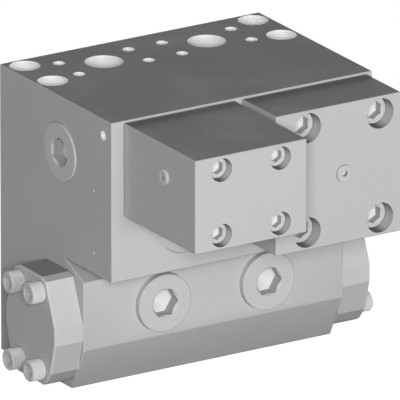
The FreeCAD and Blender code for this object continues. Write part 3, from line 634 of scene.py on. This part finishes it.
def cut(piece, cutter):
    """Take the cutter's shape out of the piece, and the cutter away."""
    only(piece)
    modifier = piece.modifiers.new("cut", "BOOLEAN")
    modifier.object = cutter
    modifier.solver = "EXACT"
    bpy.ops.object.modifier_apply(modifier=modifier.name)
    bpy.data.objects.remove(cutter)


cutter_corners = 48         # of a drill or countersink
drill_share = 0.97          # drilled radius of a socket, as a share of half its key width
drill_tip = 0.02            # the drill's blunt tip, as a share of the same
drill_slope = math.radians(31.0)
overshoot = 5.0 * mm        # the drill and the broach stand out of the socket this far


def cut_socket(piece, across_flats, depth, corner_up):
    """Hexagon socket as it is made: drilled, countersunk and then broached, down from height 0."""
    corner = across_flats / math.sqrt(3)
    flat = across_flats / 2
    lead = corner - flat
    drill, tip = drill_share * flat, drill_tip * flat
    point = drill * math.tan(drill_slope)
    pilot = add_rod("pilot", drill, -depth, overshoot, cutter_corners)
    grow_inwards(pilot, -depth, [(tip, -depth - point)])
    cut(piece, pilot)
    cut(piece, add_cone("mouth", flat - lead, corner + lead, -2 * lead, lead, cutter_corners))
    broach = add_rod("broach", corner, -depth, overshoot, 6)
    if not corner_up:
        bpy.ops.transform.rotate(value=math.pi / 6, orient_axis="Z", center_override=(0, 0, 0))
        bpy.ops.object.transform_apply(rotation=True)
    cut(piece, broach)


def smooth(piece, sharp=30.0):
    """Smooth shading over the edges that bend by less than this many degrees."""
    only(piece)
    bpy.ops.object.shade_smooth_by_angle(angle=math.radians(sharp))


def keep_own_place(piece, unfit=None):
    """Note where each point of the piece lay about its own axis, for its material."""
    mesh = piece.data
    own = mesh.attributes.new("own_place", "FLOAT_VECTOR", "POINT")
    for point, entry in zip(mesh.vertices, own.data):
        entry.vector = unfit @ point.co if unfit else point.co


def axis_of(side):
    """Number of the axis that this side looks along."""
    return next(axis for axis in range(3) if SIDES[side][0][axis])


def seat_at(spot, side):
    """Place of a turned piece at a spot: local +Z out of that side, local +Y up on it."""
    out, up = SIDES[side]
    across = up.cross(out)
    return Matrix.Translation(spot) @ Matrix((across, up, out)).transposed().to_4x4()


def outer_seat(node, side):
    """Where a turned piece sits: its origin in the middle of the node's outer face."""
    low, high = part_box(node)
    spot = (low + high) / 2
    axis = axis_of(side)
    spot[axis] = high[axis] if SIDES[side][0][axis] > 0 else low[axis]
    return seat_at(spot, side)


def fit(piece, seat):
    """Put a piece modelled about the local Z axis in its place, in its mesh."""
    only(piece)
    piece.matrix_world = seat
    bpy.ops.object.transform_apply(location=True, rotation=True, scale=True)


def dress(piece, body, slot, material, *stands_for):
    piece.data.materials.clear()
    piece.data.materials.append(material)
    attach(piece, body)
    if stands_for:
        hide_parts(*stands_for)


def copy_of(master, name):
    piece = master.copy()
    piece.data = master.data.copy()
    piece.name = name
    bpy.context.scene.collection.objects.link(piece)
    return piece


def in_metres(sizes):
    return {name: value * mm for name, value in sizes.items()}


# Sockets

# How far out a socket's faces lie, as shares of half its key width.
point_inner = 0.3
wall_inner = 0.95
wall_outer = 1.05
shade_top = 0.02 * mm         # the painted shade on the walls starts this far down


def finish_socket(piece, size, shaded_walls=True):
    """The socket's broached walls get a darker colour as painted shade, and its drill point a lighter one
    as painted light.
    """
    point_slot, shade_slot = 1, 2
    for material in (lightened_drill_point, shaded_socket_wall):
        piece.data.materials.append(material)
    own = piece.data.attributes["own_place"].data
    flat, depth = size["key"] / 2, size["socket"]
    for face in piece.data.polygons:
        middle = sum((own[number].vector for number in face.vertices), Vector()) / len(face.vertices)
        out, down = middle.xy.length / flat, -middle.z
        if depth < down < depth + flat and point_inner < out < wall_inner:
            face.material_index = point_slot
        elif shaded_walls and shade_top < down < depth and wall_inner < out < wall_outer:
            face.material_index = shade_slot


# Screw plugs

# Sizes in mm: thread radius, how much thinner the neck is, the seal's height, edge break, key, socket
# depth and length under the collar.
PLUGS = {
    "big": dict(thread=21.0, neck=1.5, seal=2.2, edge=0.9, key=22.0, socket=11.0, shank=16.0),
    "gallery": dict(thread=7.0, neck=0.5, seal=1.2, edge=0.5, key=6.0, socket=6.0, shank=9.0),
    "gauge": dict(thread=5.0, neck=0.4, seal=1.0, edge=0.8, key=5.0, socket=4.5, shank=8.0),
}
# Each plug's node, its kind, the side it is in and whether a corner of its socket points up.
PLUG_PLACES = [(f"{hand}_makeup_plug", "big", hand, True) for hand in HANDS]
PLUG_PLACES += [(f"{hand}_{kind}_plug", "big", "front", False) for hand in HANDS
                for kind in ("check", "lower")]
PLUG_PLACES += [("relief_gallery_plug", "gallery", "right", False),
                ("relief_gauge_plug", "gauge", "front", False),
                ("brake_gauge_plug", "gauge", "left", True)]
collar_corners = 96
plug_lead = 1.0 * mm        # chamfer at the thread's inner end


def screw_plug(node, kind, side, corner_up):
    """Screw plug with a broken collar edge, a seal neck and a countersunk socket."""
    size = in_metres(PLUGS[kind])
    low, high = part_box(node)
    axis = axis_of(side)
    across = 1 if axis == 0 else 0
    collar = (high - low)[across] / 2
    total = (high - low)[axis]
    rise = total - size["shank"]
    piece = add_rod(node + "_turned", collar, -rise, 0, collar_corners)
    neck = size["thread"] - size["neck"]
    grow_inwards(piece, -rise, [(neck, -rise), (neck, -rise - size["seal"]),
                                (size["thread"], -rise - size["seal"]),
                                (size["thread"], plug_lead - total),
                                (size["thread"] - plug_lead, -total)])
    round_edge(piece, 0, size["edge"])
    cut_socket(piece, size["key"], size["socket"], corner_up)
    smooth(piece)
    keep_own_place(piece)
    fit(piece, outer_seat(node, side))
    dress(piece, body_of_node[node], slot_of_node[node], plated_plug, node)
    finish_socket(piece, size)


# Socket head cap screws

# Sizes in mm: shank radius, head radius and height, edge break, key and socket depth.
SCREWS = {
    "m12": dict(shank=6.0, head=9.0, height=12.0, edge=0.8, key=10.0, socket=6.0),
    "m16": dict(shank=8.0, head=12.0, height=16.0, edge=1.0, key=14.0, socket=8.0),
}
SCREW_ROWS = [("left_cover_screws", "m12", "left"), ("right_cover_screws", "m12", "right"),
              ("brake_block_screws", "m12", "front"), ("relief_block_screws", "m16", "front")]
knurl_ribs = 54
knurl_depth = 0.22 * mm
knurl_flank = 0.22          # width of a rib's flank, as a share of the rib
most_tilt = 0.1             # of the normal of a face that stands upright
head_starts = 1.0 * mm      # the head's sides lie further than this outside the shank


def cap_screw(name, size, total):
    """Socket head cap screw with a knurled head, head up, with its top at height 0."""
    height = size["height"]
    piece = add_rod(name, size["head"] - knurl_depth, -height, 0, knurl_ribs)
    grow_inwards(piece, -height, [(size["shank"], -height), (size["shank"], size["edge"] - total),
                                  (size["shank"] - size["edge"], -total)])
    round_edge(piece, 0, size["edge"])
    beyond_shank = size["shank"] + head_starts
    pick(piece, "FACE",
         lambda spot, normal: abs(normal.z) < most_tilt and spot.xy.length > beyond_shank)
    rib = 2 * math.pi * size["head"] / knurl_ribs
    bpy.ops.mesh.inset(thickness=rib * knurl_flank, depth=knurl_depth, use_individual=True)
    done_editing()
    cut_socket(piece, size["key"], size["socket"], True)
    smooth(piece)
    keep_own_place(piece)
    return piece


def screw_row(node, kind, side):
    """Four screws at the corners of the node's box, with painted shade on the socket walls of those that
    face the front.
    """
    size = in_metres(SCREWS[kind])
    low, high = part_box(node)
    axis = axis_of(side)
    master = cap_screw(node + "_master", size, high[axis] - low[axis])
    ends = [(low[k] + size["head"], high[k] - size["head"]) for k in range(3)]
    ends[axis] = (outer_seat(node, side).translation[axis],)
    spots = [(x, y, z) for x in ends[0] for y in ends[1] for z in ends[2]]
    for number, spot in enumerate(spots, 1):
        screw = copy_of(master, f"{node}_{number}")
        fit(screw, seat_at(Vector(spot), side))
        dress(screw, body_of_node[node], slot_of_node[node], plated_screw, node)
        finish_socket(screw, size, shaded_walls=side == "front")
    bpy.data.objects.remove(master)


# Finished copies of the CAD pieces

weld_within = 0.0005 * mm   # points this close are one
flat_within = math.radians(0.05)    # triangles that bend by less are one face


def merged_copy(node, material, side=None, sharp=30.0):
    """The CAD piece with its loose triangles joined and its round faces smooth."""
    piece = copy_of(nodes[node], node + "_finished")
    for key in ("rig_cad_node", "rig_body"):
        del piece[key]
    piece.parent = None
    only(piece)
    bpy.ops.mesh.customdata_custom_splitnormals_clear()
    edit(piece, "SELECT")
    bpy.ops.mesh.remove_doubles(threshold=weld_within)
    bpy.ops.mesh.dissolve_limited(angle_limit=flat_within)
    done_editing()
    smooth(piece, sharp)
    if side:
        keep_own_place(piece, outer_seat(node, side).inverted())
    dress(piece, body_of_node[node], slot_of_node[node], material, node)
    return piece


longest_wall = 0.1          # the outer faces run further than this along the valve
least_bend = 0.05           # degrees between two facets of a bore
most_bend = 20.0
cover_bend = 14.0           # degrees: the covers' flats meet at more than this


def lighten_bores(piece):
    """Give the walls of the piece's round holes the bare finish that the tools left, in a near white that
    is partly painted light.
    """
    bore_slot = 1
    piece.data.materials.append(bare_bore_lightened)
    edit(piece, "DESELECT")
    mesh = bmesh.from_edit_mesh(piece.data)
    for face in mesh.faces:
        bends = [math.degrees(edge.calc_face_angle(0.0)) for edge in face.edges]
        reach = [corner.co.x for corner in face.verts]
        curved = sum(least_bend < bend < most_bend for bend in bends) > 1
        if curved and max(reach) - min(reach) < longest_wall:
            face.material_index = bore_slot
    bmesh.update_edit_mesh(piece.data)
    done_editing()


# Springs

# Wire and mean diameter in mm, turns, the side that the fixed end is on, and the body at the other end.
SPRINGS = {}
for hand in HANDS:
    SPRINGS[f"{hand}_main_spring"] = (4.0, 23.0, 4.5, hand, "spool")
    SPRINGS[f"{hand}_makeup_spring"] = (2.5, 17.0, 5.0, hand, f"{hand}_makeup")
    SPRINGS[f"{hand}_check_spring"] = (2.5, 17.0, 5.0, "front", f"{hand}_check")
    SPRINGS[f"{hand}_relief_spring"] = (2.0, 8.5, 5.0, "front", f"{hand}_relief")
SPRINGS["brake_spring"] = (1.8, 10.5, 4.0, "bottom", "brake_reducer")
dead_turn = 0.75            # closed turns at each end
ground_off = 0.06           # how far inside the ground end the wire's middle starts, in wires
wire_corners = 14
grinder_corners = 24
wind_steps = 32             # per turn
least_steps = 8
run_gap = 0.002 * mm        # two runs are joined where their ends meet this closely


def wind(piece, turns, rise, start_angle):
    """Sweep the piece's open ring of points up a helix with the Screw modifier."""
    only(piece)
    modifier = piece.modifiers.new("wind", "SCREW")
    modifier.angle = 2 * math.pi * turns
    modifier.screw_offset = rise
    modifier.steps = modifier.render_steps = max(least_steps, round(wind_steps * turns))
    modifier.use_merge_vertices = False
    bpy.ops.object.modifier_apply(modifier=modifier.name)
    if start_angle:
        only(piece)
        bpy.ops.transform.rotate(value=-start_angle, orient_axis="Z", center_override=(0, 0, 0))
        bpy.ops.object.transform_apply(rotation=True)


def join(parts, name):
    bpy.ops.object.select_all(action="DESELECT")
    for part in parts:
        part.select_set(True)
    bpy.context.view_layer.objects.active = parts[0]
    bpy.ops.object.join()
    parts[0].name = name
    return parts[0]


def wound_wire(node, wire, mean, turns, length):
    """Wire wound in three runs, closed, open and closed again, joined and capped at its two ends."""
    closing = (1 - ground_off) * wire
    runs = ((dead_turn, closing), (turns - 2 * dead_turn, length - 2 * wire), (dead_turn, closing))
    level, angle = ground_off * wire, 0.0
    parts = []
    for number, (run_turns, rise) in enumerate(runs):
        ring = start_piece(f"{node}_run_{number}", bpy.ops.mesh.primitive_circle_add,
                           vertices=wire_corners, radius=wire / 2, location=(mean / 2, 0, level),
                           rotation=(math.pi / 2, 0, 0))
        wind(ring, run_turns, rise, angle)
        level += rise
        angle += 2 * math.pi * run_turns
        parts.append(ring)
    spring = join(parts, node + "_wound")
    edit(spring, "SELECT")
    bpy.ops.mesh.select_mode(type="EDGE")
    bpy.ops.mesh.remove_doubles(threshold=run_gap)
    bpy.ops.mesh.select_all(action="DESELECT")
    bpy.ops.mesh.select_non_manifold()
    bpy.ops.mesh.edge_face_add()
    turn_outwards()
    return spring


def coil_spring(node, wire, mean, turns, side):
    """Spring with closed ends that are ground flat, from the moving end up to the fixed one."""
    wire, mean = wire * mm, mean * mm
    low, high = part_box(node)
    length = (high - low)[axis_of(side)]
    spring = wound_wire(node, wire, mean, turns, length)
    for low_end, high_end in ((-2 * wire, 0.0), (length, length + 2 * wire)):
        cut(spring, add_rod("grinder", mean, low_end, high_end, grinder_corners))
    smooth(spring)
    keep_own_place(spring)
    seat = outer_seat(node, side)
    fit(spring, seat @ Matrix.Translation((0, 0, -length)))
    spring.data.materials.clear()
    spring.data.materials.append(spring_wire)
    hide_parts(node)
    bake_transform(spring)


# Threads in the tapped holes that are seen

# Sizes in mm: thread pitch, hole radius and thread depth.
THREADS = {
    "m12": (1.75, 5.1, 22.0),
    "m27": (1.5, 12.75, 42.0),
    "m10": (1.5, 4.25, 16.0),
    "three_quarter_inch": (1.81, 12.1, 16.0),
    "quarter_inch": (1.34, 5.9, 12.0),
}
# Mounts whose thread isn't M12.
THREAD_OF_MOUNT = {"motor_screws": "m27", "bracket_tapping": "m10", "feed_port": "three_quarter_inch",
                   "brake_port": "quarter_inch"}
ridge_height = 0.2          # of a ridge that stands in the hole, as a share of its pitch
ridge_foot = 0.42           # half the width of its foot, as a share of its pitch
foot_sunk = 0.1 * mm        # how deep the foot lies in the wall
ridge_steps = 40            # per turn
ridge_gap = 0.001 * mm      # turns are joined where they meet this closely


def thread_ridge(name, kind):
    """Ridge of a thread down a hole's wall, from local height 0 inwards."""
    pitch, radius, depth = [value * mm for value in THREADS[kind]]
    ridge = start_piece(name, bpy.ops.mesh.primitive_circle_add, vertices=3, radius=pitch / 2,
                        location=(radius, 0, 0))
    foot = radius + foot_sunk
    corners = [(foot, pitch * ridge_foot), (radius - pitch * ridge_height, 0), (foot, -pitch * ridge_foot)]
    for point, (out, level) in zip(ridge.data.vertices, corners):
        point.co = (out, 0, level - pitch)
    modifier = ridge.modifiers.new("thread", "SCREW")
    modifier.angle = 2 * math.pi
    modifier.screw_offset = -pitch
    modifier.iterations = int((depth - pitch) / pitch)
    modifier.steps = modifier.render_steps = ridge_steps
    bpy.ops.object.modifier_apply(modifier=modifier.name)
    edit(ridge, "SELECT")
    bpy.ops.mesh.remove_doubles(threshold=ridge_gap)
    bpy.ops.mesh.fill_holes(sides=3)
    turn_outwards()
    smooth(ridge)
    return ridge


def side_facing(out):
    """Name of the side that looks this way."""
    return max(SIDES, key=lambda side: SIDES[side][0].dot(out))


def mount_holes(mount):
    """Places of a mount's holes: the corners of its pattern, or its own middle."""
    spot = Vector(mount["pos_m"])
    if mount["kind"] != "bolt_pattern":
        return [spot]
    first = Vector((1, 0, 0))
    second = first.cross(Vector(mount["axis"]))
    half_x = mount["dims"]["spacing_x_mm"] * mm / 2
    half_y = mount["dims"]["spacing_y_mm"] * mm / 2
    return [spot + first * half_x * a + second * half_y * b for a in (-1, 1) for b in (-1, 1)]


def add_threads():
    """A ridge in each hole of the mounts that are tapped."""
    masters = {}
    for mount in record["mounts"]:
        if mount["kind"] not in ("bolt_pattern", "threaded_hole"):
            continue
        kind = THREAD_OF_MOUNT.get(mount["name"], "m12")
        if kind not in masters:
            masters[kind] = thread_ridge(kind + "_master", kind)
        side = side_facing(Vector(mount["axis"]))
        slot = "block_steel" if mount["name"] == "brake_port" else "body_iron"
        for number, spot in enumerate(mount_holes(mount), 1):
            ridge = copy_of(masters[kind], f"{mount['name']}_thread_{number}")
            fit(ridge, seat_at(spot, side))
            dress(ridge, "valve", slot, bare_bore_lightened)
    for master in masters.values():
        bpy.data.objects.remove(master)


# The scene

add_camera()
for name, lamp in LAMPS.items():
    add_lamp(name, **lamp)
add_world()
add_floor()

milled_face = milled_face_group()
turned_face = turned_face_group()
worn_edge = worn_edge_group()
blotches = blotch_group()
painted_facing_shade = painted_facing_shade_group()
painted_crevice_shade = painted_crevice_shade_group()

# Grey phosphate finishes on the milled castings and blocks, thinner on the covers.
# Their shade depth is how far the painted shade darkens faces that look up or down.
phosphated_casting = milled_metal(
    "phosphated_casting", colour=(0.56, 0.548, 0.541), worn=(0.62, 0.61, 0.6), rub=0.6 * mm,
    feed_mark=0.9 * mm, cutter=63 * mm, specular=0.02, rough=0.55, shade_depth=0.64)
phosphated_block = milled_metal(
    "phosphated_block", colour=(0.545, 0.533, 0.526), worn=(0.62, 0.61, 0.6), rub=0.6 * mm,
    feed_mark=0.6 * mm, cutter=50 * mm, specular=0.02, rough=0.52, shade_depth=0.65)
# Its rubbed edges are near white: partly wear, partly a painted highlight along the rims.
milled_cover = milled_metal(
    "milled_cover", colour=(0.59, 0.578, 0.571), worn=(0.95, 0.94, 0.93), rub=1.1 * mm,
    feed_mark=0.5 * mm, cutter=40 * mm, specular=0.03, rough=0.5, shade_depth=0.54)

# Turned, drilled and plated finishes.
# Bare machined metal, coloured near white as painted light on the bore walls and threads.
bare_bore_lightened = turned_metal(
    "bare_bore_lightened", colour=(0.97, 0.965, 0.955), worn=(0.98, 0.97, 0.96), feed_mark=0.5 * mm,
    metallic=0.1, specular=0.2, rough=0.4)
plated_plug = turned_metal(
    "plated_plug", colour=(0.58, 0.567, 0.555), worn=(0.78, 0.77, 0.75), feed_mark=0.35 * mm,
    metallic=0.1, specular=0.1, rough=0.42)
plated_screw = turned_metal(
    "plated_screw", colour=(0.6, 0.59, 0.58), worn=(0.84, 0.83, 0.82), feed_mark=0.3 * mm,
    metallic=0.1, specular=0.1, rough=0.4)
# Painted light: the drill point of a socket is coloured lighter than the plating around it.
lightened_drill_point = turned_metal(
    "lightened_drill_point", colour=(0.72, 0.715, 0.705), worn=(0.8, 0.79, 0.78), feed_mark=0.4 * mm,
    metallic=0.0, specular=0.1, rough=0.4)
# Painted shade: the broached walls of a socket are coloured darker than the plating.
shaded_socket_wall = turned_metal(
    "shaded_socket_wall", colour=(0.42, 0.41, 0.4), worn=(0.5, 0.49, 0.48), feed_mark=0.4 * mm,
    metallic=0.0, specular=0.2, rough=0.35)
ground_steel = turned_metal(
    "ground_steel", colour=(0.6, 0.6, 0.6), worn=(0.75, 0.75, 0.75), feed_mark=0.15 * mm,
    metallic=0.6, specular=0.3, rough=0.25)
spring_wire = turned_metal(
    "spring_wire", colour=(0.16, 0.155, 0.16), worn=(0.3, 0.3, 0.3), feed_mark=1.5 * mm,
    metallic=0.5, specular=0.4, rough=0.38)
rubber = seal_rubber()

lighten_bores(merged_copy("valve_body", phosphated_casting))
merged_copy("brake_block", phosphated_block)
merged_copy("relief_block", phosphated_block)
merged_copy("main_spool", ground_steel, "right")
merged_copy("brake_spool", ground_steel, "bottom")
merged_copy("brake_end_plug", plated_plug, "bottom")
for hand in HANDS:
    merged_copy(f"{hand}_cover", milled_cover, sharp=cover_bend)
    merged_copy(f"{hand}_spring_seat", ground_steel, hand)
    merged_copy(f"{hand}_makeup_poppet", ground_steel, hand)
    merged_copy(f"{hand}_check_poppet", ground_steel, "front")
    merged_copy(f"{hand}_relief_seat", ground_steel, "back")
    merged_copy(f"{hand}_relief_poppet", ground_steel, "back")
for node in sorted(nodes):
    if slot_of_node[node] == "seal_rubber":
        merged_copy(node, rubber)
for node, kind, side, corner_up in PLUG_PLACES:
    screw_plug(node, kind, side, corner_up)
for node, kind, side in SCREW_ROWS:
    screw_row(node, kind, side)
for node, (wire, mean, turns, side, moving) in SPRINGS.items():
    coil_spring(node, wire, mean, turns, side)
add_threads()
